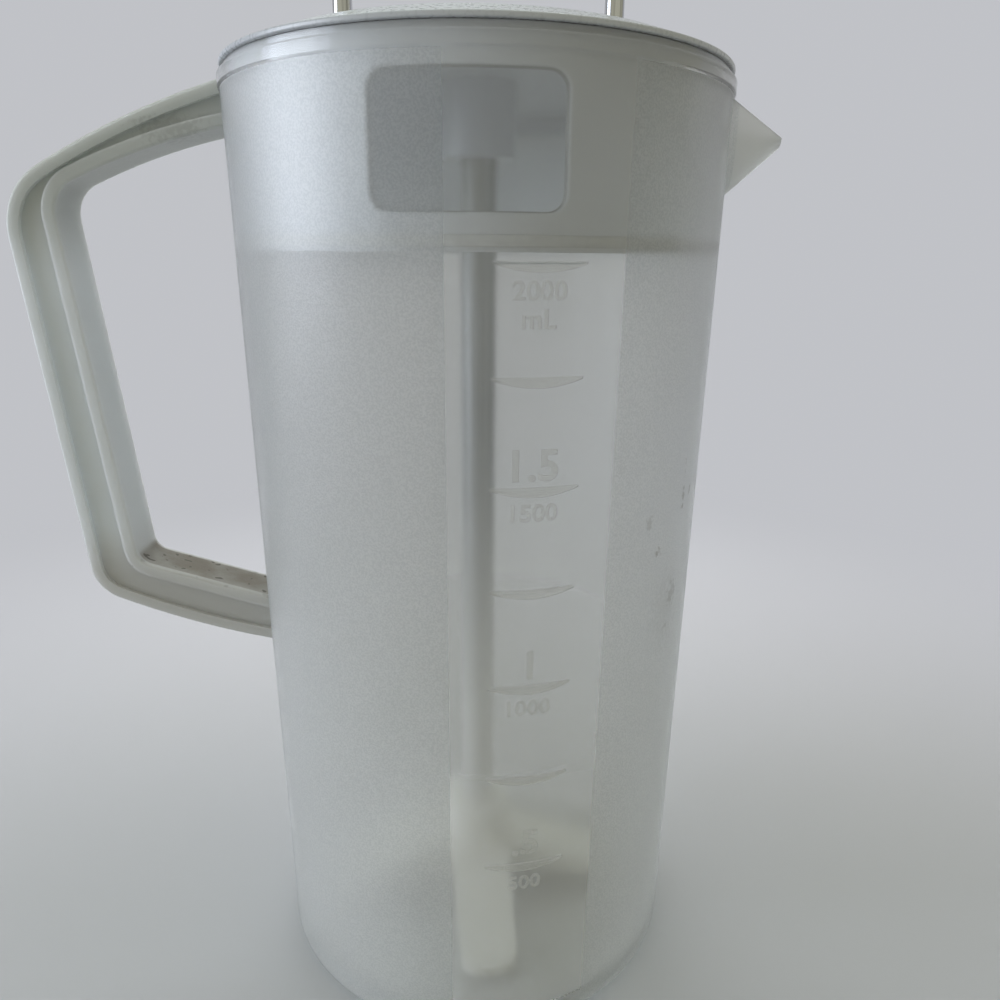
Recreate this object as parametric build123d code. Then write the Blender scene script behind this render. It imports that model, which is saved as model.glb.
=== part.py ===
from build123d import *
import os

# Formula mixing pitcher: a tapered jug with a beak and a loop handle, a turning lid with a pour window,
# and a mixing plunger that slides and turns in the lid.
# Millimetres. The origin is the middle of the base, +Z up, +X towards the beak, -X towards the handle.

# Jug
body_height = 241.0
rim_radius = 62.1
base_inset = 4.6
wall = 2.0
floor_thickness = 2.4
foot_height = 4.0
foot_width = 11.0
foot_round = 1.0
base_corner = 6.5
inside_corner = 5.0
bead_height = 4.4
bead_proud = 0.5
rim_round = 0.5
seam_height = 1.7
seam_depth = 1.0

# Beak, measured outwards from the jug's wall and down from the rim
beak_reach = 14.4
beak_half_width = 14.0
beak_depth = 21.0
beak_start_drop = 5.9
beak_tip_drop = 11.9
beak_tip_half_width = 3.2
beak_tip_depth = 2.4
beak_wall = 1.8
beak_run_in = 4.0

# Loop handle, measured outwards from the jug's wall and down from the rim
handle_width = 15.0
shoulder_reach = 57.0
shoulder_drop = 27.0
heel_reach = 46.0
heel_drop = 132.5
upper_arm_drop = 0.6
upper_arm_thickness = 11.0
lower_arm_drop = 135.0
lower_arm_thickness = 13.2
grip_thickness = 13.0
heel_thickness = 8.0
upper_arm_bow = 2.5
upper_inner_bow = 1.7
lower_arm_bow = 1.5
shoulder_round = 18.0
inner_shoulder_round = 9.0
heel_round = 11.0
inner_heel_round = 5.0
channel_border = 3.2
channel_depth = 1.4
channel_run_in = 3.4
handle_edge_round = 0.8
handle_fit = 0.02

# Lid
lid_setback = 0.2
lid_edge_height = 1.1
lid_edge_round = 0.5
lid_seam_round = 0.4
lid_crown_height = 4.7
panel_thickness = 2.2
lid_edge_width = 9.9
panel_round = 1.2
spigot_depth = 5.0
spigot_thickness = 1.6
boss_radius = 9.5
boss_depth = 17.6
boss_lip = 1.2
boss_lip_gap = 0.2

# Skirt with its pour window and sealing ring
skirt_depth = 40.3
skirt_gap = 0.4
skirt_thickness = 1.8
window_width = 37.0
window_height = 25.1
window_drop = 7.6
window_corner = 3.5
window_edge_round = 0.9
window_turn = -2.0
seal_height = 2.4
seal_edge = 0.9
seal_groove = 0.9
seal_gap = 0.2

# Rod, bush and wiper
rod_diameter = 9.6
rod_tube_wall = 1.0
bush_thickness = 1.65
wiper_height = 3.0
running_gap = 0.05
seat_gap = 0.03

# Plunger plate and arch
plate_radius = 39.0
plate_thickness = 5.0
plate_edge_round = 1.5
plate_boss_radius = 10.0
plate_boss_height = 11.0
plate_boss_round = 1.0
rod_seat_depth = 6.0
arch_wire = 4.8
arch_half_width = 33.2
arch_leg = 21.0
socket_radius = 4.6
socket_height = 9.0
socket_floor = 2.0

# Screw and threaded plug at the top of the rod
screw_head_diameter = 8.0
screw_head_height = 2.6
screw_diameter = 4.0
screw_length = 12.0
driver_slot = 1.2
plug_length = 14.0

# Mixing head
paddle_gap = 1.4
hub_radius = 10.5
hub_skirt_radius = 13.0
hub_height = 28.0
hub_step = 11.5
hub_round = 3.0
hub_step_round = 1.5
rod_socket_depth = 18.0
blade_count = 4
blade_reach = 43.5
blade_root_width = 18.0
blade_tip_width = 15.4
blade_tip_round = 5.5
blade_root_top = 19.6
blade_tip_thickness = 2.8
blade_root_bottom = 7.0
blade_toe = 6.5
blade_turn = -85.0
pin_diameter = 3.0
pin_height = 19.0
pin_turn = 45.0

# Values that follow from the sizes above
base_radius = rim_radius - base_inset
taper = base_inset / body_height
inside_floor = foot_height + floor_thickness
bead_bottom = body_height - bead_height
seam_bottom = body_height - seam_height
lid_bottom = body_height
panel_top = lid_bottom + panel_thickness
skirt_bottom = lid_bottom - skirt_depth
boss_bottom = lid_bottom - boss_depth
lid_radius = rim_radius - lid_setback
panel_radius = lid_radius - lid_edge_width
rod_radius = rod_diameter / 2
bush_inner = rod_radius + running_gap
bush_radius = bush_inner + bush_thickness
wiper_bottom = boss_bottom + boss_lip
bush_bottom = wiper_bottom + wiper_height
rod_top = panel_top + rod_seat_depth
paddle_bottom = inside_floor + paddle_gap
hub_top = paddle_bottom + hub_height
rod_bottom = hub_top - rod_socket_depth
tube_inner = rod_radius - rod_tube_wall
arch_radius = arch_wire / 2
plate_top = panel_top + plate_thickness
plate_boss_top = panel_top + plate_boss_height
screw_head_bottom = plate_boss_top - screw_head_height
seal_bottom = skirt_bottom + seal_edge


def outer_radius(z):
    """Radius of the jug's outside at a height."""
    return base_radius + taper * z


def inner_radius(z):
    """Radius of the jug's inside at a height."""
    return outer_radius(z) - wall


def skirt_radius(z):
    """Radius of the skirt's outside at a height."""
    return inner_radius(z) - skirt_gap


def section(points, rounds=()):
    """A flat outline in the XZ plane from (x, z) points; rounds holds (index of the point, radius)."""
    corners = [Vector(x, 0, z) for x, z in points]
    face = make_face(Polyline(*corners, close=True)).face()
    for index, radius in rounds:
        corner = face.vertices().sort_by_distance(corners[index])[0]
        face = face.fillet_2d(radius, [corner])
    return face


def turned(points, rounds=()):
    """A solid of revolution about Z from (radius, z) points."""
    return revolve(section(points, rounds), axis=Axis.Z)


def cone_band(radius_at, low, high):
    """A solid tapered plug whose radius at each end comes from radius_at."""
    return turned([(0, low), (radius_at(low), low), (radius_at(high), high), (0, high)])


def drilled(radius, low, high):
    """A round cutter or pin on the Z axis."""
    return Pos(0, 0, low) * Cylinder(radius, high - low, align=(Align.CENTER, Align.CENTER, Align.MIN))


def jug_outside(gap):
    """Points of the jug's outside from the base to the rim, grown by gap."""
    return [
        (base_radius + gap, 0),
        (outer_radius(bead_bottom - bead_proud) + gap, bead_bottom - bead_proud),
        (outer_radius(bead_bottom) + bead_proud + gap, bead_bottom),
        (rim_radius + bead_proud + gap, body_height),
    ]


def jug_shell():
    """The tapered wall, the floor, the foot ring, the rim bead and the seam under the lid's edge."""
    foot_inner = base_radius - foot_width
    points = [(0, foot_height), (foot_inner, foot_height), (foot_inner, 0)]
    points += jug_outside(0)[:-1]
    points += [
        (outer_radius(seam_bottom) + bead_proud, seam_bottom),
        (rim_radius - seam_depth, seam_bottom),
        (rim_radius - seam_depth, body_height),
        (inner_radius(body_height), body_height),
        (inner_radius(inside_floor), inside_floor),
        (0, inside_floor),
    ]
    rounds = [(2, foot_round), (3, base_corner), (6, rim_round), (10, inside_corner)]
    return turned(points, rounds)


def lip_height(x):
    """Height of the beak's sloping lip at a distance from the axis."""
    slope = (beak_tip_drop - beak_start_drop) / beak_reach
    return body_height - beak_start_drop - slope * (x - rim_radius)


def beak_form(shrink):
    """The beak as a horn from inside the wall out to its tip, smaller all round by shrink, below its lip."""
    widen = (beak_half_width - beak_tip_half_width) / beak_reach
    deepen = (beak_depth - beak_tip_depth) / beak_reach
    root_x = rim_radius - wall - beak_run_in
    tip_x = rim_radius + beak_reach
    ends = []
    for x in (root_x, tip_x - shrink):
        out = x - rim_radius
        half_width = beak_half_width - widen * out - shrink
        depth = beak_depth - deepen * out - shrink
        place = Plane(origin=(x, 0, lip_height(x)), x_dir=(0, 1, 0), z_dir=(1, 0, 0))
        ends.append(place * Ellipse(half_width, depth))
    below = section([(root_x, 0), (tip_x, 0), (tip_x, lip_height(tip_x)), (root_x, lip_height(root_x))])
    return loft(ends, ruled=True) & extrude(below, amount=2 * beak_half_width, both=True)


def pitcher_body():
    """The jug with its beak; the wall is open behind the beak."""
    inside = cone_band(inner_radius, inside_floor, body_height)
    return jug_shell() + (beak_form(0) - inside) - beak_form(beak_wall)


def bowed(start, end, bow):
    """A shallow arc between two (x, z) points whose middle is raised by bow."""
    middle = ((start[0] + end[0]) / 2, (start[1] + end[1]) / 2 + bow)
    return ThreePointArc(*[Vector(x, 0, z) for x, z in (start, middle, end)])


def straight(start, end):
    """A straight edge between two (x, z) points."""
    return Line(Vector(start[0], 0, start[1]), Vector(end[0], 0, end[1]))


def handle_outline():
    """The handle's loop seen from the side, with its roots run on into the wall."""
    levels = {
        "top": body_height - upper_arm_drop,
        "under": body_height - upper_arm_drop - upper_arm_thickness,
        "over": body_height - lower_arm_drop,
        "bottom": body_height - lower_arm_drop - lower_arm_thickness,
    }
    at_wall = {name: (-outer_radius(z), z) for name, z in levels.items()}
    narrowest = min(outer_radius(z) for z in levels.values())
    root_x = channel_border + channel_run_in - narrowest
    root = {name: (root_x, z) for name, z in levels.items()}
    shoulder = (-(rim_radius + shoulder_reach), body_height - shoulder_drop)
    heel = (-(rim_radius + heel_reach), body_height - heel_drop)
    inner_heel = (heel[0] + grip_thickness, heel[1] + heel_thickness)
    inner_shoulder = (shoulder[0] + grip_thickness, shoulder[1])
    loop = [
        straight(root["top"], at_wall["top"]),
        bowed(at_wall["top"], shoulder, upper_arm_bow),
        straight(shoulder, heel),
        bowed(heel, at_wall["bottom"], -lower_arm_bow),
        straight(at_wall["bottom"], root["bottom"]),
        straight(root["bottom"], root["over"]),
        straight(root["over"], at_wall["over"]),
        straight(at_wall["over"], inner_heel),
        straight(inner_heel, inner_shoulder),
        bowed(inner_shoulder, at_wall["under"], upper_inner_bow),
        straight(at_wall["under"], root["under"]),
        straight(root["under"], root["top"]),
    ]
    face = make_face(loop).face()
    corners = [
        (shoulder, shoulder_round),
        (heel, heel_round),
        (inner_heel, inner_heel_round),
        (inner_shoulder, inner_shoulder_round),
    ]
    for (x, z), radius in corners:
        corner = face.vertices().sort_by_distance(Vector(x, 0, z))[0]
        face = face.fillet_2d(radius, [corner])
    return face


def side_handle():
    """The loop handle: a channel runs along both its sides, and its roots follow the jug's wall."""
    outline = handle_outline()
    loop = extrude(outline, amount=handle_width / 2, both=True)
    sides = loop.edges().group_by(Axis.Y)
    loop = fillet(sides[0] + sides[-1], handle_edge_round)
    channel = offset(outline, amount=-channel_border, kind=Kind.INTERSECTION).face()
    web = handle_width / 2 - channel_depth
    for side in (1, -1):
        bottom = Pos(0, side * web, 0) * channel
        loop -= extrude(bottom, amount=channel_depth, dir=(0, side, 0))
    return loop - turned([(0, 0)] + jug_outside(handle_fit) + [(0, body_height)])


def lid_cover():
    """The lid's plate with its sloping raised edge, the spigot for the skirt and the boss for the rod."""
    spigot_outer = skirt_radius(lid_bottom) - skirt_thickness - seat_gap
    spigot_low = spigot_outer - taper * spigot_depth
    points = [
        (0, boss_bottom),
        (boss_radius, boss_bottom),
        (boss_radius, lid_bottom),
        (spigot_outer - spigot_thickness, lid_bottom),
        (spigot_low - spigot_thickness, lid_bottom - spigot_depth),
        (spigot_low, lid_bottom - spigot_depth),
        (spigot_outer, lid_bottom),
        (lid_radius, lid_bottom),
        (lid_radius, lid_bottom + lid_edge_height),
        (panel_radius, lid_bottom + lid_crown_height),
        (panel_radius - lid_crown_height + panel_thickness, panel_top),
        (0, panel_top),
    ]
    cover = turned(points, [(7, lid_seam_round), (8, lid_edge_round), (9, panel_round)])
    cover -= drilled(rod_radius + boss_lip_gap, boss_bottom, wiper_bottom)
    return cover - drilled(bush_radius, wiper_bottom, panel_top)


def on_skirt_outside(edge):
    """Whether an edge of the skirt lies on its outer face."""
    middle = edge.position_at(0.5)
    from_axis = (middle.X ** 2 + middle.Y ** 2) ** 0.5
    return from_axis > skirt_radius(middle.Z) - skirt_thickness / 2


def lid_skirt():
    """The sleeve in the jug's mouth, with its round-edged pour window and the groove for its ring."""
    top = lid_bottom
    groove_top = seal_bottom + seal_height
    sleeve = turned([
        (skirt_radius(skirt_bottom) - skirt_thickness, skirt_bottom),
        (skirt_radius(skirt_bottom), skirt_bottom),
        (skirt_radius(seal_bottom), seal_bottom),
        (skirt_radius(seal_bottom) - seal_groove, seal_bottom),
        (skirt_radius(groove_top) - seal_groove, groove_top),
        (skirt_radius(groove_top), groove_top),
        (skirt_radius(top), top),
        (skirt_radius(top) - skirt_thickness, top),
    ])
    middle = top - window_drop - window_height / 2
    opening = RectangleRounded(window_width, window_height, window_corner)
    place = Plane(origin=(0, 0, middle), x_dir=(1, 0, 0), z_dir=(0, -1, 0))
    window = Rot(0, 0, window_turn) * extrude(place * opening, amount=rim_radius)
    open_sleeve = sleeve - window
    border = [edge for edge in new_edges(sleeve, window, combined=open_sleeve) if on_skirt_outside(edge)]
    return fillet(border, window_edge_round)


def skirt_seal():
    """The ring in the skirt's groove, whose lip runs close to the jug's wall."""
    low = seal_bottom + running_gap
    high = seal_bottom + seal_height - running_gap
    bottom_lip = inner_radius(low) - seal_gap
    top_lip = inner_radius(high) - seal_gap
    inside = skirt_radius(seal_bottom) - seal_groove
    return turned([
        (inside + running_gap + taper * running_gap, low),
        (bottom_lip, low),
        (top_lip, high),
        (inside + running_gap + taper * (seal_height - running_gap), high),
    ])


def rod_bush():
    """The plain bearing in the lid's boss."""
    sleeve = drilled(bush_radius - seat_gap, bush_bottom, panel_top)
    return sleeve - drilled(bush_inner, bush_bottom, panel_top)


def rod_wiper():
    """The ring under the bush that wipes the rod."""
    low = wiper_bottom + running_gap
    high = bush_bottom - running_gap
    ring = drilled(bush_radius - running_gap, low, high)
    return ring - drilled(bush_inner, low, high)


def arch_places():
    """The two places where the arch's legs stand."""
    return [(side * arch_half_width, 0) for side in (1, -1)]


def plunger_plate():
    """The plate on the lid that carries the arch and holds the rod."""
    points = [
        (0, panel_top),
        (plate_radius, panel_top),
        (plate_radius, plate_top),
        (plate_boss_radius, plate_top),
        (plate_boss_radius, plate_boss_top),
        (0, plate_boss_top),
    ]
    plate = turned(points, [(2, plate_edge_round), (3, plate_boss_round), (4, plate_boss_round)])
    socket_top = panel_top + socket_height
    for x, y in arch_places():
        plate += Pos(x, y, 0) * drilled(socket_radius, panel_top, socket_top)
    for x, y in arch_places():
        plate -= Pos(x, y, 0) * drilled(arch_radius + seat_gap, panel_top + socket_floor, socket_top)
    plate -= drilled(rod_radius + seat_gap, panel_top, rod_top)
    plate -= drilled(screw_diameter / 2 + seat_gap, rod_top, screw_head_bottom)
    return plate - drilled(screw_head_diameter / 2 + seat_gap, screw_head_bottom, plate_boss_top)


def bail_handle():
    """The wire arch: two legs in their sockets and a half ring over them."""
    low = panel_top + socket_floor
    high = plate_top + arch_leg
    left = Vector(-arch_half_width, 0, 0)
    right = Vector(arch_half_width, 0, 0)
    path = Wire([
        Line(right + Vector(0, 0, low), right + Vector(0, 0, high)),
        ThreePointArc(right + Vector(0, 0, high), Vector(0, 0, high + arch_half_width), left + Vector(0, 0, high)),
        Line(left + Vector(0, 0, high), left + Vector(0, 0, low)),
    ])
    start = Plane(origin=right + Vector(0, 0, low), z_dir=(0, 0, 1))
    return sweep(start * Circle(arch_radius), path=path)


def plunger_rod():
    """The rod's tube, drilled across for the pin."""
    tube = drilled(rod_radius, rod_bottom, rod_top) - drilled(tube_inner, rod_bottom, rod_top)
    return tube - pin_form(pin_diameter / 2 + seat_gap, hub_radius)


def rod_insert():
    """The threaded plug in the top of the rod."""
    plug = drilled(tube_inner - seat_gap, rod_top - plug_length, rod_top)
    return plug - drilled(screw_diameter / 2 + seat_gap, rod_top - plug_length, rod_top)


def rod_screw():
    """The slotted screw that holds the plate on the rod."""
    tip = screw_head_bottom - screw_length
    screw = drilled(screw_head_diameter / 2, screw_head_bottom, plate_boss_top)
    screw += drilled(screw_diameter / 2, tip, screw_head_bottom)
    slot = Box(2 * screw_head_diameter, driver_slot, screw_head_height)
    return screw - Pos(0, 0, plate_boss_top) * slot


def pin_form(radius, half_length):
    """A round bar across the hub, between two blades."""
    bar = Cylinder(radius, 2 * half_length, rotation=(0, 90, 0))
    return Rot(0, 0, blade_turn + pin_turn) * Pos(0, 0, paddle_bottom + pin_height) * bar


def paddle_blade():
    """One blade along +X: wide, drooping, with a rounded tip."""
    root = paddle_bottom + blade_root_top
    side = section([
        (0, paddle_bottom + blade_root_bottom),
        (hub_skirt_radius, paddle_bottom + blade_root_bottom),
        (blade_reach - blade_toe, paddle_bottom),
        (blade_reach, paddle_bottom),
        (blade_reach, paddle_bottom + blade_tip_thickness),
        (0, root),
    ])
    plan = make_face(Polyline(
        (0, -blade_root_width / 2),
        (blade_reach, -blade_tip_width / 2),
        (blade_reach, blade_tip_width / 2),
        (0, blade_root_width / 2),
        close=True,
    )).face()
    tip = plan.vertices().group_by(Axis.X)[-1]
    plan = plan.fillet_2d(blade_tip_round, tip)
    deep = extrude(side, amount=blade_root_width, both=True)
    return deep & extrude(plan, amount=hub_top)


def mixing_paddle():
    """The hub with its blades, bored for the rod and the pin."""
    step = paddle_bottom + hub_height - hub_step
    low = paddle_bottom + blade_root_bottom
    head = turned([
        (0, low),
        (hub_skirt_radius, low),
        (hub_skirt_radius, step),
        (hub_radius, step),
        (hub_radius, hub_top),
        (0, hub_top),
    ], [(2, hub_step_round), (4, hub_round)])
    for index in range(blade_count):
        head += Rot(0, 0, blade_turn + index * 360 / blade_count) * paddle_blade()
    head -= drilled(rod_radius + seat_gap, rod_bottom, hub_top)
    return head - pin_form(pin_diameter / 2 + seat_gap, 2 * hub_radius)


def paddle_pin():
    """The cross pin through the hub and the rod."""
    return pin_form(pin_diameter / 2, hub_radius)


nodes = [
    pitcher_body,
    side_handle,
    lid_cover,
    lid_skirt,
    skirt_seal,
    rod_bush,
    rod_wiper,
    plunger_plate,
    bail_handle,
    plunger_rod,
    rod_insert,
    rod_screw,
    mixing_paddle,
    paddle_pin,
]

os.makedirs("parts", exist_ok=True)
for node in nodes:
    export_step(node(), f"parts/{node.__name__}.step")
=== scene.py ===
import math

import bmesh
import bpy
from mathutils import Matrix, Vector


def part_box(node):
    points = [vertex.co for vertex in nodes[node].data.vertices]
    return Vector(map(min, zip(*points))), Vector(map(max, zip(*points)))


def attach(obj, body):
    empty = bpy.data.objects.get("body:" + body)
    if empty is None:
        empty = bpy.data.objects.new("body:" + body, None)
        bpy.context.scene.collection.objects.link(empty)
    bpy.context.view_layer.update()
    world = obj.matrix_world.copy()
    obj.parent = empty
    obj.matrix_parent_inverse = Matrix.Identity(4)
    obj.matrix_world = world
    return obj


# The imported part, in metres: the origin is the middle of the base, +Z up and +X towards the beak
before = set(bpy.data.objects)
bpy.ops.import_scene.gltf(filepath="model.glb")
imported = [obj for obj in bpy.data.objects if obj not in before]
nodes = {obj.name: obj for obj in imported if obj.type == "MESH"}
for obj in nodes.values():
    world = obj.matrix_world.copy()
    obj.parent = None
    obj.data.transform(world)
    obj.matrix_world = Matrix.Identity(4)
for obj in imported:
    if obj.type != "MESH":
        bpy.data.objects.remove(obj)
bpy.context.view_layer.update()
mm = 0.001

# Camera, as worked out from the photograph: where it stands, where it looks and what is level in it
eye = Vector((0.0, -228.7, 200.1)) * mm
gaze = Vector((0.02645, 0.95895, -0.28234))
level = Vector((0.99965, -0.02481, 0.00938))
lens = 29.94
nearest_seen = 10 * mm

# Places on the solids that the finishes follow
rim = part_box("pitcher_body")[1].z
skirt_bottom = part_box("lid_skirt")[0].z
handle_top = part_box("side_handle")[1].z
arch_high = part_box("bail_handle")[1]
arch_bend_start = arch_high.z - arch_high.x

# Heights between which the jug's foot and neck are measured
foot_zone = (5 * mm, 10 * mm)
neck_zone = (rim - 20 * mm, rim - 4 * mm)

# Polished strip down the front of the jug: angles round the jug from straight ahead towards the beak
strip_left = math.radians(-6.4)
strip_right = math.radians(29.3)
strip_edge = math.radians(0.12)
strip_foot = 6 * mm

# The rim's bead, the beak and the jug's inside are left smooth
bead_height = 4.4 * mm
bead_edge = 1.2 * mm
beak_start = 63.5 * mm
beak_edge = 0.2 * mm
skin_least = 0.8 * mm
skin_most = 1.2 * mm

# The wall gets hazier downwards between these heights, and the strip a little clearer below the lid's sleeve
haze_high = 170 * mm
haze_low = 55 * mm
clearing = 45 * mm
clearing_top = 5 * mm

# Scuffs on the jug: angle round it as for the strip, height, half width, half height and how dark it is
jug_scuffs = [
    (math.radians(57.3), 143.0 * mm, 1.1 * mm, 3.0 * mm, 0.75),
    (math.radians(61.9), 143.6 * mm, 0.9 * mm, 2.0 * mm, 0.75),
    (math.radians(57.1), 149.5 * mm, 0.5 * mm, 5.0 * mm, 0.6),
    (math.radians(41.9), 140.2 * mm, 1.5 * mm, 2.2 * mm, 0.4),
    (math.radians(46.6), 132.0 * mm, 1.5 * mm, 1.3 * mm, 0.75),
    (math.radians(55.0), 118.7 * mm, 2.6 * mm, 4.2 * mm, 0.5),
    (math.radians(52.5), 110.2 * mm, 1.5 * mm, 1.2 * mm, 0.4),
    (math.radians(52.5), 115.0 * mm, 8.0 * mm, 11.0 * mm, 0.13),
]

# A smudge has a full middle and fades outwards, in half widths, and its outline is ragged by a noise
smudge_full = 0.4
smudge_gone = 1.2
ragged_size = 1.2 * mm
ragged_out = -0.4
ragged_in = 0.6

# Spots on the handle: middle, half width, half height and how dark it is
handle_spots = [
    ((-62.1 * mm, -7.4 * mm, 99.3 * mm), 0.7 * mm, 0.7 * mm, 1.0),
    ((-97.3 * mm, -7.4 * mm, 115.0 * mm), 0.6 * mm, 0.6 * mm, 1.0),
    ((-75.5 * mm, -6.5 * mm, 229.0 * mm), 9.0 * mm, 3.5 * mm, 0.22),
]

# Grime lies on the handle's low ledges, dust lies all over its lower arm, and its upper arm is darkened
# towards the top by painted shade
grime_top = 150 * mm
grime_fade = 10 * mm
grime_half_width = 6.1 * mm
grime_edge = 0.4 * mm
dust_low = 110 * mm
dust_high = 130 * mm
upper_shade_low = handle_top - 50 * mm
upper_shade_high = handle_top - 25 * mm

# Measuring scale on the strip: drops are from the rim to the top of a mark or the middle of a number
scale_turn = math.radians(11.4)
mark_drops = [drop * mm for drop in (41.9, 64.6, 87.9, 111.3, 135.1, 159.4, 184.3)]
mark_half_width = 9.8 * mm
mark_depth = 2.3 * mm
mark_end = 0.5 * mm
mark_proud = 0.3 * mm
mark_border = 0.3 * mm
mark_lift = 0.02 * mm
mark_steps = 48
small_height = 4.0 * mm
big_height = 7.0 * mm
letter_width = 1.06
letter_depth = 0.04
letter_bevel = 0.025
numbers = [
    ("2000", 47.5 * mm, small_height),
    ("mL", 53.0 * mm, small_height),
    ("1.5", 83.2 * mm, big_height),
    ("1500", 93.6 * mm, small_height),
    ("1", 130.0 * mm, big_height),
    ("1000", 140.9 * mm, small_height),
    (".5", 178.5 * mm, big_height),
    ("500", 190.1 * mm, small_height),
]

# Pale ground, the rays that see it, and where the floor starts and ends to pass into it
backdrop_colour = (0.53, 0.54, 0.57, 1)
seeing_rays = ("Is Camera Ray", "Is Glossy Ray", "Is Transmission Ray")
near_floor = 0.1
far_floor = 0.5

# Floor and backdrop: half width, front end, back wall, radius between them and height
stage_half_width = 3.0
stage_front = -3.0
stage_back = 0.75
stage_curve = 0.35
stage_top = 2.5
stage_steps = 24

# Bounced light meets painted shade: dark paper up to the first height, and over the second one pale paper on
# the left alone, darker towards the right
shade_low = 0.14
shade_high = 0.36
pale_end = 0.35
paper_cloud = 0.3

# Lamps: name, place, what it points at, width, watts and colour
lamps = [
    ("window_light", (-1.2, -0.25, 0.42), (0, 0, 0.13), 0.8, 7.9, (0.76, 0.83, 1.0)),
    ("top_light", (0.2, -0.1, 1.8), (0, 0, 0.1), 1.4, 1.5, (1.0, 0.97, 0.95)),
    ("backdrop_light", (0, 0.25, 0.75), (0, 0.75, 0.58), 0.6, 6.8, (0.95, 0.9, 0.98)),
    ("back_light", (-0.1, 0.65, 0.95), (0, 0, 0.12), 0.6, 3.0, (0.86, 1.0, 0.97)),
]
gloss_lamp = ("gloss_light", (-1.2, -0.236, 0.46), (0, 0, 0.24), 0.53, 2.8, (0.9, 0.95, 1.0))
sky_colour = (1.0, 0.98, 0.79, 1)
sky_strength = 0.43

# Most of a noise lies between these values
noise_low = 0.3
noise_high = 0.7


def ring(low, high):
    """(height, radius) of the jug's widest point between two heights, on the side away from the beak."""
    points = [v.co for v in nodes["pitcher_body"].data.vertices if low <= v.co.z <= high and v.co.x < 0]
    widest = max(points, key=lambda p: math.hypot(p.x, p.y))
    return widest.z, math.hypot(widest.x, widest.y)


foot_z, foot_radius = ring(*foot_zone)
neck_z, neck_radius = ring(*neck_zone)
slope = (neck_radius - foot_radius) / (neck_z - foot_z)


def jug_radius(height):
    """The jug's outside radius at a height."""
    return foot_radius + slope * (height - foot_z)


def jug_point(turn, height, proud=0.0):
    """The point of the jug's outside at an angle round it and a height."""
    out = jug_radius(height) + proud
    return Vector((out * math.sin(turn), -out * math.cos(turn), height))


def wall_point(along, height, proud):
    """The point on the jug's outside at a distance along the wall from the scale's middle, and a height."""
    return jug_point(scale_turn + along / jug_radius(height), height, proud)


# Node helpers


def new_material(name):
    """A material with a bare Principled shader: returns the material, its tree and that shader."""
    made = bpy.data.materials.new(name)
    made.use_nodes = True
    tree = made.node_tree
    return made, tree, tree.nodes["Principled BSDF"]


def node(tree, kind, inputs, **settings):
    """Adds a node. inputs gives values or other nodes' sockets by the input's name or number."""
    made = tree.nodes.new(kind)
    for key, value in settings.items():
        setattr(made, key, value)
    fill(tree, made, inputs)
    return made


def fill(tree, made, inputs):
    """Sets a node's inputs to values, or links them to other nodes' sockets."""
    for key, value in inputs.items():
        if isinstance(value, bpy.types.NodeSocket):
            tree.links.new(value, made.inputs[key])
        else:
            made.inputs[key].default_value = value


def place(tree):
    """Coordinates in the part's frame."""
    return node(tree, "ShaderNodeTexCoord", {}).outputs["Object"]


def facing(tree):
    """The way that the surface faces."""
    return node(tree, "ShaderNodeTexCoord", {}).outputs["Normal"]


def parts_of(tree, vector):
    """A vector's X, Y and Z."""
    return node(tree, "ShaderNodeSeparateXYZ", {"Vector": vector}).outputs


def joined(tree, inputs):
    """A vector from its parts, 0 where none is given."""
    return node(tree, "ShaderNodeCombineXYZ", inputs).outputs["Vector"]


def length(tree, vector):
    """A vector's length."""
    return node(tree, "ShaderNodeVectorMath", {0: vector}, operation="LENGTH").outputs["Value"]


def stretched(tree, vector, scale):
    """Coordinates scaled by axis."""
    return node(tree, "ShaderNodeMapping", {"Vector": vector, "Scale": scale}).outputs["Vector"]


def noise(tree, vector, size, detail=2.0):
    """Soft noise from 0 to 1, whose blotches are about size across."""
    inputs = {"Vector": vector, "Scale": 1 / size, "Detail": detail}
    return node(tree, "ShaderNodeTexNoise", inputs).outputs["Fac"]


def math_node(tree, operation, first, second=0.0):
    """One step of arithmetic on two values."""
    return node(tree, "ShaderNodeMath", {0: first, 1: second}, operation=operation).outputs[0]


def times(tree, first, second):
    """Two values multiplied."""
    return math_node(tree, "MULTIPLY", first, second)


def most(tree, values):
    """The largest of several values."""
    largest = values[0]
    for value in values[1:]:
        largest = math_node(tree, "MAXIMUM", largest, value)
    return largest


def ramp(tree, value, low, high, start=0.0, end=1.0):
    """Goes smoothly from start at low to end at high."""
    inputs = {"Value": value, "From Min": low, "From Max": high, "To Min": start, "To Max": end}
    return node(tree, "ShaderNodeMapRange", inputs, interpolation_type="SMOOTHSTEP").outputs["Result"]


def varied(tree, grain, start, end):
    """Goes from start to end with a noise."""
    return ramp(tree, grain, noise_low, noise_high, start, end)


def band(tree, value, low, high, soft):
    """1 between low and high, 0 outside, with soft edges."""
    rise = ramp(tree, value, low - soft, low + soft)
    fall = ramp(tree, value, high - soft, high + soft, 1.0, 0.0)
    return times(tree, rise, fall)


def blend_colour(tree, share, first, second):
    """A colour from first to second by share."""
    made = node(tree, "ShaderNodeMix", {"Factor": share}, data_type="RGBA")
    fill(tree, made, {6: first, 7: second})
    return made.outputs[2]


def blend_value(tree, share, first, second):
    """A value from first to second by share."""
    made = node(tree, "ShaderNodeMix", {"Factor": share}, data_type="FLOAT")
    fill(tree, made, {2: first, 3: second})
    return made.outputs[0]


def bump(tree, height, distance, strength):
    """A surface normal raised by height."""
    inputs = {"Height": height, "Distance": distance, "Strength": strength}
    return node(tree, "ShaderNodeBump", inputs).outputs["Normal"]


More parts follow.
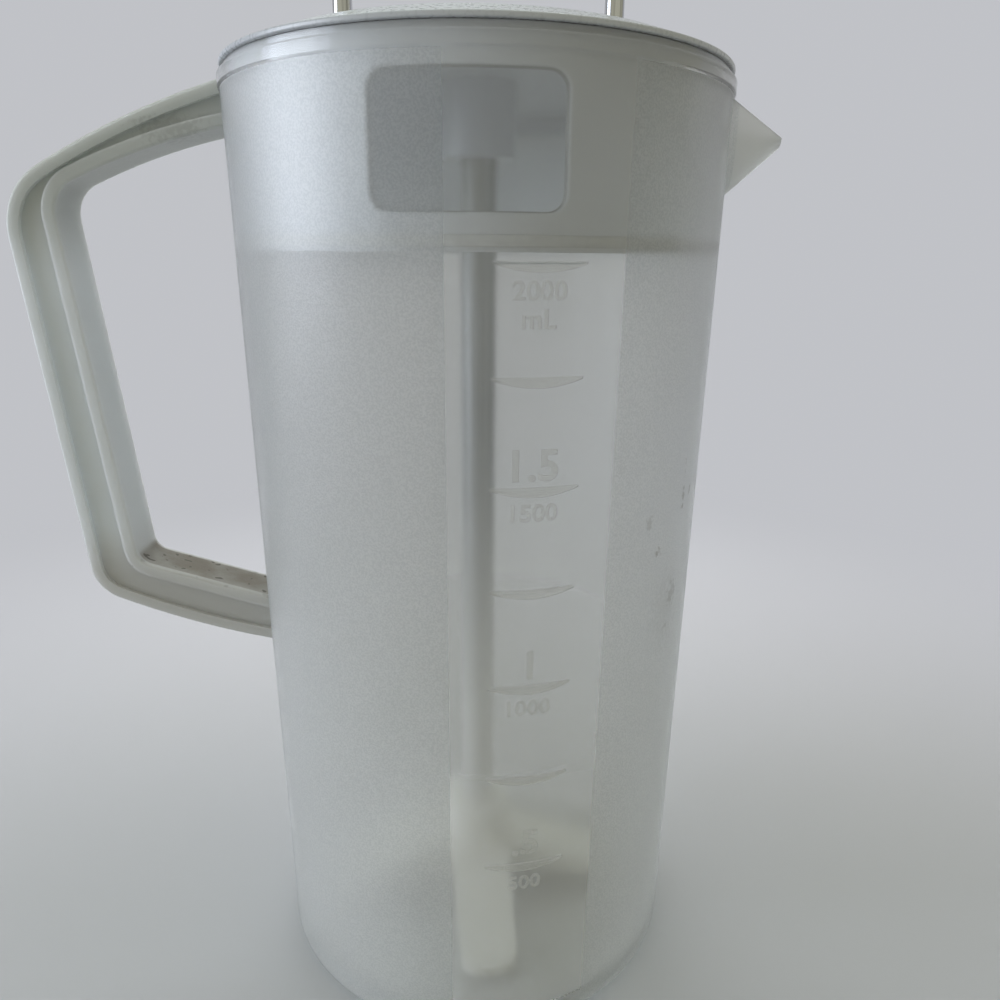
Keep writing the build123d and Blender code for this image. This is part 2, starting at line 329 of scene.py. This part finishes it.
def smudge(tree, spot, at, width, tall):
    """1 at a point of the surface, fading to 0 round a ragged oval."""
    scale = (1 / width, 1 / width, 1 / tall)
    shift = tuple(-part * share for part, share in zip(at, scale))
    mapping = node(tree, "ShaderNodeMapping", {"Vector": spot, "Location": shift, "Scale": scale})
    away = length(tree, mapping.outputs["Vector"])
    ragged = varied(tree, noise(tree, spot, ragged_size, 4.0), ragged_out, ragged_in)
    return ramp(tree, math_node(tree, "ADD", away, ragged), smudge_full, smudge_gone, 1.0, 0.0)


def smudges(tree, spot, places):
    """Several smudges, each with its middle, half width, half height and how dark it is."""
    return most(tree, [
        times(tree, smudge(tree, spot, at, width, tall), depth) for at, width, tall, depth in places
    ])


def shown(tree, shader):
    """Makes a shader the material's surface."""
    tree.links.new(shader, tree.nodes["Material Output"].inputs["Surface"])


def lets_lamps_through(tree, shader, tint):
    """Lamps shine on through the plastic: their rays meet a tinted film."""
    path = node(tree, "ShaderNodeLightPath", {})
    film = node(tree, "ShaderNodeBsdfTransparent", {"Color": tint})
    mix = node(tree, "ShaderNodeMixShader", {
        0: path.outputs["Is Shadow Ray"],
        1: shader.outputs["BSDF"],
        2: film.outputs["BSDF"],
    })
    shown(tree, mix.outputs["Shader"])


# Materials


def strip_share(tree, spot):
    """1 on the jug's polished strip."""
    axes = parts_of(tree, spot)
    turn = math_node(tree, "ARCTAN2", axes["X"], times(tree, axes["Y"], -1.0))
    between = band(tree, turn, strip_left, strip_right, strip_edge)
    return times(tree, between, ramp(tree, axes["Z"], strip_foot, 2 * strip_foot))


def inside_share(tree, height, reach):
    """1 on the jug's inner side, which is told by its distance from the axis."""
    upright = math_node(tree, "SUBTRACT", reach, times(tree, height, slope))
    outside = foot_radius - slope * foot_z
    return ramp(tree, upright, outside - skin_most, outside - skin_least, 1.0, 0.0)


def jug_colour(tree, spot, grain, shiny):
    """Milky white, speckled where it is frosted, with scuffs."""
    milk = blend_colour(tree, noise(tree, spot, 40 * mm), (0.85, 0.855, 0.835, 1), (0.88, 0.88, 0.865, 1))
    speckled = blend_colour(tree, ramp(tree, grain, 0.35, 0.65), (0.72, 0.73, 0.715, 1), milk)
    wall = blend_colour(tree, shiny, speckled, milk)
    scuffs = smudges(tree, spot, [(jug_point(turn, up), *rest) for turn, up, *rest in jug_scuffs])
    return blend_colour(tree, scuffs, wall, (0.30, 0.28, 0.23, 1))


def jug_plastic():
    """Milky polypropylene with a spark-finished outside, polished to a clear strip in front of the scale."""
    made, tree, shader = new_material("frosted_polypropylene")
    spot = place(tree)
    height = parts_of(tree, spot)["Z"]
    reach = length(tree, stretched(tree, spot, (1, 1, 0)))
    strip = strip_share(tree, spot)
    on_beak = ramp(tree, reach, beak_start, beak_start + beak_edge)
    on_rim = ramp(tree, height, rim - bead_height - bead_edge, rim - bead_height)
    shiny = most(tree, [strip, on_beak, on_rim, inside_share(tree, height, reach)])
    strip_rough = ramp(tree, height, haze_low, haze_high, 0.16, 0.13)
    shiny_rough = blend_value(tree, on_rim, blend_value(tree, on_beak, strip_rough, 0.4), 0.12)
    grain = noise(tree, spot, 0.45 * mm, 2.0)
    frost_rough = varied(tree, grain, 0.44, 0.6)
    strip_clear = ramp(tree, height, skirt_bottom - clearing, skirt_bottom + clearing_top, 0.92, 0.85)
    clear = ramp(tree, height, haze_low, haze_high, 0.70, blend_value(tree, strip, 0.85, strip_clear))
    fill(tree, shader, {
        "Base Color": jug_colour(tree, spot, grain, shiny),
        "Roughness": blend_value(tree, shiny, frost_rough, shiny_rough),
        "Transmission Weight": blend_value(tree, on_beak, clear, 0.72),
        "IOR": 1.35,
        "Coat Weight": blend_value(tree, shiny, 0.18, 0.0),
        "Coat Roughness": 0.18,
        "Coat Normal": bump(tree, grain, 0.1 * mm, 0.5),
        "Normal": bump(tree, grain, 0.12 * mm, blend_value(tree, shiny, 0.7, 0.01)),
    })
    lets_lamps_through(tree, shader, (0.92, 0.92, 0.91, 1))
    return made


def handle_ledges(tree, spot):
    """1 on the handle's low ledges, which face up, but not on the narrow lips of its channels."""
    axes = parts_of(tree, spot)
    upwards = ramp(tree, parts_of(tree, facing(tree))["Z"], 0.15, 0.6)
    low = ramp(tree, axes["Z"], grime_top - grime_fade, grime_top + grime_fade, 1.0, 0.0)
    aside = math_node(tree, "ABSOLUTE", axes["Y"])
    inboard = ramp(tree, aside, grime_half_width - grime_edge, grime_half_width, 1.0, 0.25)
    return times(tree, times(tree, upwards, low), inboard)


def handle_colour(tree, spot):
    """Painted shade above, dusty below, with grime, crumbs and spots."""
    height = parts_of(tree, spot)["Z"]
    clean = blend_colour(tree, noise(tree, spot, 25 * mm), (0.73, 0.76, 0.77, 1), (0.80, 0.83, 0.845, 1))
    # Painted shade: the upper arm goes darker towards the top
    upper_shaded = blend_colour(tree, ramp(tree, height, upper_shade_low, upper_shade_high), clean, (0.55, 0.57, 0.55, 1))
    dusty = ramp(tree, height, dust_low, dust_high, 0.6, 0.0)
    # Real dust below, laid over the painted shade above
    dust_and_shade = blend_colour(tree, dusty, upper_shaded, (0.50, 0.48, 0.45, 1))
    ledge = handle_ledges(tree, spot)
    patchy = ramp(tree, noise(tree, spot, 9 * mm, 5.0), 0.25, 0.7, 0.6, 1.0)
    grimy = blend_colour(tree, times(tree, ledge, patchy), dust_and_shade, (0.25, 0.22, 0.175, 1))
    crumbs = ramp(tree, noise(tree, spot, 2.5 * mm, 1.0), 0.66, 0.7)
    dark = most(tree, [times(tree, crumbs, ledge), smudges(tree, spot, handle_spots)])
    return blend_colour(tree, times(tree, dark, 0.8), grimy, (0.09, 0.08, 0.06, 1))


def handle_plastic():
    """The same plastic, thicker, so that it looks denser."""
    made, tree, shader = new_material("handle_polypropylene")
    spot = place(tree)
    grain = noise(tree, spot, 0.6 * mm, 3.0)
    fill(tree, shader, {
        "Base Color": handle_colour(tree, spot),
        "Roughness": varied(tree, grain, 0.35, 0.5),
        "Transmission Weight": 0.1,
        "Subsurface Weight": 0.8,
        "Subsurface Radius": (1.0, 1.0, 1.0),
        "Subsurface Scale": 7 * mm,
        "IOR": 1.4,
        "Normal": bump(tree, grain, 0.05 * mm, 0.3),
    })
    lets_lamps_through(tree, shader, (0.22, 0.23, 0.22, 1))
    return made


def lid_plastic():
    """Satin grey-white lid plastic."""
    made, tree, shader = new_material("lid_plastic")
    spot = place(tree)
    grain = noise(tree, spot, 1.0 * mm, 2.0)
    cloud = noise(tree, spot, 30 * mm)
    fill(tree, shader, {
        "Base Color": blend_colour(tree, cloud, (0.55, 0.575, 0.615, 1), (0.60, 0.625, 0.665, 1)),
        "Roughness": varied(tree, grain, 0.26, 0.32),
        "Normal": bump(tree, grain, 0.03 * mm, 0.02),
    })
    return made


def skirt_plastic():
    """The lid's sleeve: denser milk-white plastic, with painted shade on the cut edges, which don't face in
    or out.
    """
    made, tree, shader = new_material("skirt_plastic")
    spot = place(tree)
    grain = noise(tree, spot, 0.5 * mm, 3.0)
    cloud = noise(tree, spot, 30 * mm)
    clean = blend_colour(tree, cloud, (0.74, 0.77, 0.80, 1), (0.80, 0.82, 0.83, 1))
    flat = stretched(tree, spot, (1, 1, 0))
    outwards = node(tree, "ShaderNodeVectorMath", {0: flat}, operation="NORMALIZE").outputs["Vector"]
    lean = node(tree, "ShaderNodeVectorMath", {0: facing(tree), 1: outwards}, operation="DOT_PRODUCT")
    # Painted shade on the cut edges, which face neither in nor out
    cut_edge_shade = ramp(tree, math_node(tree, "ABSOLUTE", lean.outputs["Value"]), 0.5, 0.98, 1.0, 0.0)
    fill(tree, shader, {
        "Base Color": blend_colour(tree, cut_edge_shade, clean, (0.30, 0.31, 0.30, 1)),
        "Roughness": varied(tree, grain, 0.35, 0.5),
        "Transmission Weight": 0.15,
        "IOR": 1.4,
        "Normal": bump(tree, grain, 0.03 * mm, 0.3),
    })
    lets_lamps_through(tree, shader, (0.93, 0.94, 0.93, 1))
    return made


def soft_rubber(name, colour):
    """Silicone for the rings."""
    made, tree, shader = new_material(name)
    dust = noise(tree, place(tree), 1.5 * mm, 3.0)
    darker = tuple(0.75 * part for part in colour)
    fill(tree, shader, {
        "Base Color": blend_colour(tree, dust, (*darker, 1), (*colour, 1)),
        "Roughness": varied(tree, dust, 0.4, 0.6),
    })
    return made


def along_wire(tree, spot):
    """Coordinates that stay the same along the rod, the arch's legs and the arch's bend."""
    axes = parts_of(tree, spot)
    bend = math_node(tree, "MAXIMUM", math_node(tree, "SUBTRACT", axes["Z"], arch_bend_start), 0.0)
    across = length(tree, joined(tree, {"X": axes["X"], "Z": bend}))
    return joined(tree, {"X": across, "Y": axes["Y"]})


def steel(name, colour, rough, streak):
    """Drawn steel with fine streaks along its length, painted pale and dull lower down as a painted veil of
    the wall's haze.
    """
    made, tree, shader = new_material(name)
    spot = place(tree)
    lines = noise(tree, along_wire(tree, spot), streak, 3.0)
    # Painted veil: lower down the steel is painted pale and dull where the hazy wall lies in front of it
    film = ramp(tree, parts_of(tree, spot)["Z"], haze_low, haze_high, 0.85, 0.0)
    darker = tuple(0.5 * part for part in colour)
    streaked = blend_colour(tree, ramp(tree, lines, 0.35, 0.65), (*darker, 1), (*colour, 1))
    fill(tree, shader, {
        "Base Color": blend_colour(tree, film, streaked, (0.80, 0.79, 0.75, 1)),
        "Metallic": math_node(tree, "SUBTRACT", 1.0, film),
        "Roughness": varied(tree, lines, rough, 1.6 * rough),
        "Normal": bump(tree, lines, 0.02 * mm, 0.3),
    })
    return made


def paddle_plastic():
    """Creamy moulded plastic of the mixing head."""
    made, tree, shader = new_material("paddle_plastic")
    spot = place(tree)
    grain = noise(tree, spot, 0.6 * mm, 3.0)
    cloud = noise(tree, spot, 15 * mm)
    fill(tree, shader, {
        "Base Color": blend_colour(tree, cloud, (0.86, 0.845, 0.77, 1), (0.91, 0.895, 0.82, 1)),
        "Roughness": varied(tree, grain, 0.4, 0.55),
        "Normal": bump(tree, grain, 0.04 * mm, 0.3),
    })
    return made


def mark_plastic():
    """The raised marks and numbers: polished, and hazier downwards like the wall."""
    made, tree, shader = new_material("mark_polypropylene")
    spot = place(tree)
    grain = noise(tree, spot, 0.4 * mm, 3.0)
    fill(tree, shader, {
        "Base Color": blend_colour(tree, grain, (0.90, 0.90, 0.88, 1), (0.95, 0.95, 0.93, 1)),
        "Roughness": varied(tree, grain, 0.12, 0.25),
        "Transmission Weight": ramp(tree, parts_of(tree, spot)["Z"], haze_low, haze_high, 0.8, 0.92),
        "IOR": 1.2,
    })
    lets_lamps_through(tree, shader, (0.92, 0.92, 0.91, 1))
    return made


def dress(material, *names):
    """Gives CAD nodes a material."""
    for name in names:
        mesh = nodes[name].data
        mesh.materials.clear()
        mesh.materials.append(material)


def dress_all():
    """Gives each CAD node its material."""
    dress(jug_plastic(), "pitcher_body")
    dress(handle_plastic(), "side_handle")
    dress(lid_plastic(), "lid_cover", "plunger_plate")
    dress(skirt_plastic(), "lid_skirt")
    dress(soft_rubber("seal_silicone", (0.74, 0.75, 0.73)), "skirt_seal", "rod_wiper")
    dress(soft_rubber("bearing_plastic", (0.62, 0.63, 0.62)), "rod_bush")
    rod_steel = steel("rod_steel", (0.54, 0.55, 0.54), 0.4, 0.8 * mm)
    dress(rod_steel, "plunger_rod", "rod_insert", "rod_screw", "paddle_pin")
    dress(steel("arch_steel", (0.75, 0.76, 0.77), 0.1, 0.5 * mm), "bail_handle")
    dress(paddle_plastic(), "mixing_paddle")


# Measuring scale


def mark_outline():
    """A mark's outline from its left end: straight along the top, bowed along the bottom."""
    shares = [2 * i / mark_steps - 1 for i in range(mark_steps + 1)]
    bow = mark_depth - mark_end
    top = [(mark_half_width * share, 0.0) for share in shares]
    bottom = [(mark_half_width * share, -mark_end - bow * (1 - share * share)) for share in shares]
    return top, bottom


def measuring_mark(name, drop, material):
    """One raised mark, edged by a thin ridge."""
    ridge = 2 * mark_border
    rows = [(0.0, 0.0), (0.0, mark_proud), (mark_border, mark_proud), (ridge, 0.5 * mark_proud)]
    top, bottom = mark_outline()
    mesh = bmesh.new()
    columns = []
    for (along, high), (_, low) in zip(top, bottom):
        inset = min(ridge, 0.45 * (high - low))
        levels = [(high - inset * fall / ridge, proud) for fall, proud in rows]
        levels += [(low + inset * fall / ridge, proud) for fall, proud in rows[::-1]]
        columns.append([
            mesh.verts.new(wall_point(along, rim - drop + up, mark_lift + proud)) for up, proud in levels
        ])
    count = len(columns[0])
    for left, right in zip(columns, columns[1:]):
        for i in range(count):
            j = (i + 1) % count
            mesh.faces.new((left[i], left[j], right[j], right[i]))
    mesh.faces.new(columns[0][::-1])
    mesh.faces.new(columns[-1])
    finished(name, mesh, material)


def letters(words):
    """A mesh of flat raised letters."""
    curve = bpy.data.curves.new("letters", "FONT")
    curve.body = words
    curve.extrude = letter_depth
    curve.bevel_depth = letter_bevel
    curve.bevel_resolution = 2
    flat = bpy.data.objects.new("letters", curve)
    bpy.context.scene.collection.objects.link(flat)
    bpy.context.view_layer.update()
    shape = bpy.data.meshes.new_from_object(flat.evaluated_get(bpy.context.evaluated_depsgraph_get()))
    bpy.data.objects.remove(flat)
    mesh = bmesh.new()
    mesh.from_mesh(shape)
    return mesh


def scale_number(name, words, drop, height, material):
    """One raised number, wrapped on the wall."""
    mesh = letters(words)
    low = Vector([min(v.co[i] for v in mesh.verts) for i in range(3)])
    high = Vector([max(v.co[i] for v in mesh.verts) for i in range(3)])
    middle = (low + high) / 2
    size = height / (high.y - low.y)
    for v in mesh.verts:
        along = (v.co.x - middle.x) * size * letter_width
        up = (v.co.y - middle.y) * size
        proud = (v.co.z - low.z) / (high.z - low.z) * mark_proud
        v.co = wall_point(along, rim - drop + up, mark_lift + proud)
    bmesh.ops.remove_doubles(mesh, verts=mesh.verts, dist=0.001 * mm)
    finished(name, mesh, material)


def finished(name, mesh, material):
    """Puts a whole mesh on the jug as a piece."""
    bmesh.ops.recalc_face_normals(mesh, faces=mesh.faces)
    data = bpy.data.meshes.new(name)
    mesh.to_mesh(data)
    mesh.free()
    data.materials.append(material)
    piece = bpy.data.objects.new(name, data)
    bpy.context.scene.collection.objects.link(piece)
    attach(piece, "pitcher")


def measuring_scale():
    """All marks and numbers."""
    material = mark_plastic()
    for index, drop in enumerate(mark_drops):
        measuring_mark(f"scale_mark_{index + 1}", drop, material)
    for index, (words, drop, height) in enumerate(numbers):
        scale_number(f"scale_number_{index + 1}", words, drop, height, material)


# Studio


def stage_paper():
    """Pale paper that passes far off into the even ground. Only bounced light meets its painted shade, dark
    low down and to the right.
    """
    made, tree, shader = new_material("cyclorama_paper")
    spot = place(tree)
    axes = parts_of(tree, spot)
    pale = blend_colour(tree, noise(tree, spot, paper_cloud), (0.50, 0.51, 0.53, 1), (0.53, 0.54, 0.56, 1))
    # Painted shade that only bounced light meets: the paper darkens low down and towards the right
    shade_rightwards = ramp(tree, axes["X"], 0.0, pale_end)
    wall = blend_colour(tree, shade_rightwards, (0.85, 0.85, 0.84, 1), (0.45, 0.45, 0.44, 1))
    bounced_shade = blend_colour(tree, ramp(tree, axes["Z"], shade_low, shade_high), (0.43, 0.43, 0.42, 1), wall)
    path = node(tree, "ShaderNodeLightPath", {}).outputs
    seen = most(tree, [path[ray] for ray in seeing_rays])
    fill(tree, shader, {"Base Color": blend_colour(tree, seen, bounced_shade, pale), "Roughness": 0.9})
    far = times(tree, seen, ramp(tree, length(tree, spot), near_floor, far_floor))
    ground = node(tree, "ShaderNodeEmission", {"Color": backdrop_colour})
    mix = node(tree, "ShaderNodeMixShader", {
        0: far,
        1: shader.outputs["BSDF"],
        2: ground.outputs["Emission"],
    })
    shown(tree, mix.outputs["Shader"])
    return made


def cyclorama():
    """A pale floor that curves up into a backdrop."""
    bend_start = stage_back - stage_curve
    profile = [(stage_front, 0.0), (bend_start, 0.0)]
    for i in range(1, stage_steps + 1):
        turn = math.pi / 2 * i / stage_steps
        back = bend_start + stage_curve * math.sin(turn)
        profile.append((back, stage_curve - stage_curve * math.cos(turn)))
    profile.append((stage_back, stage_top))
    mesh = bmesh.new()
    left, right = [
        [mesh.verts.new((x, y, z)) for y, z in profile] for x in (-stage_half_width, stage_half_width)
    ]
    for i in range(len(profile) - 1):
        mesh.faces.new((left[i], right[i], right[i + 1], left[i + 1])).smooth = True
    data = bpy.data.meshes.new("cyclorama")
    mesh.to_mesh(data)
    mesh.free()
    data.materials.append(stage_paper())
    floor = bpy.data.objects.new("cyclorama", data)
    bpy.context.scene.collection.objects.link(floor)


def softbox(name, at, aim, size, watts, colour):
    """A square area lamp."""
    data = bpy.data.lights.new(name, "AREA")
    data.shape = "SQUARE"
    data.size = size
    data.energy = watts
    data.color = colour
    lamp = bpy.data.objects.new(name, data)
    lamp.location = at
    lamp.rotation_euler = (Vector(aim) - Vector(at)).to_track_quat("-Z", "Y").to_euler()
    bpy.context.scene.collection.objects.link(lamp)
    return lamp


def sky():
    """An even warm sky, which the camera sees as the pale ground."""
    world = bpy.data.worlds.new("sky")
    world.use_nodes = True
    tree = world.node_tree
    light = tree.nodes["Background"]
    fill(tree, light, {"Color": sky_colour, "Strength": sky_strength})
    ground = node(tree, "ShaderNodeBackground", {"Color": backdrop_colour})
    mix = node(tree, "ShaderNodeMixShader", {
        0: node(tree, "ShaderNodeLightPath", {}).outputs["Is Camera Ray"],
        1: light.outputs["Background"],
        2: ground.outputs["Background"],
    })
    tree.links.new(mix.outputs["Shader"], tree.nodes["World Output"].inputs["Surface"])
    bpy.context.scene.world = world


def studio():
    """Soft daylight from the left and behind, a weak light from above, and one lamp for gloss alone."""
    cyclorama()
    for lamp in lamps:
        softbox(*lamp)
    pane = softbox(*gloss_lamp)
    pane.visible_diffuse = False
    pane.visible_transmission = False
    sky()
    bpy.context.scene.view_settings.view_transform = "Standard"


def camera():
    """The photograph's camera."""
    data = bpy.data.cameras.new("camera")
    data.lens = lens
    data.clip_start = nearest_seen
    seen_from = bpy.data.objects.new("camera", data)
    turn = Matrix((level, level.cross(gaze), -gaze)).transposed()
    seen_from.matrix_world = Matrix.Translation(eye) @ turn.to_4x4()
    bpy.context.scene.collection.objects.link(seen_from)
    bpy.context.scene.camera = seen_from


dress_all()
measuring_scale()
studio()
camera()
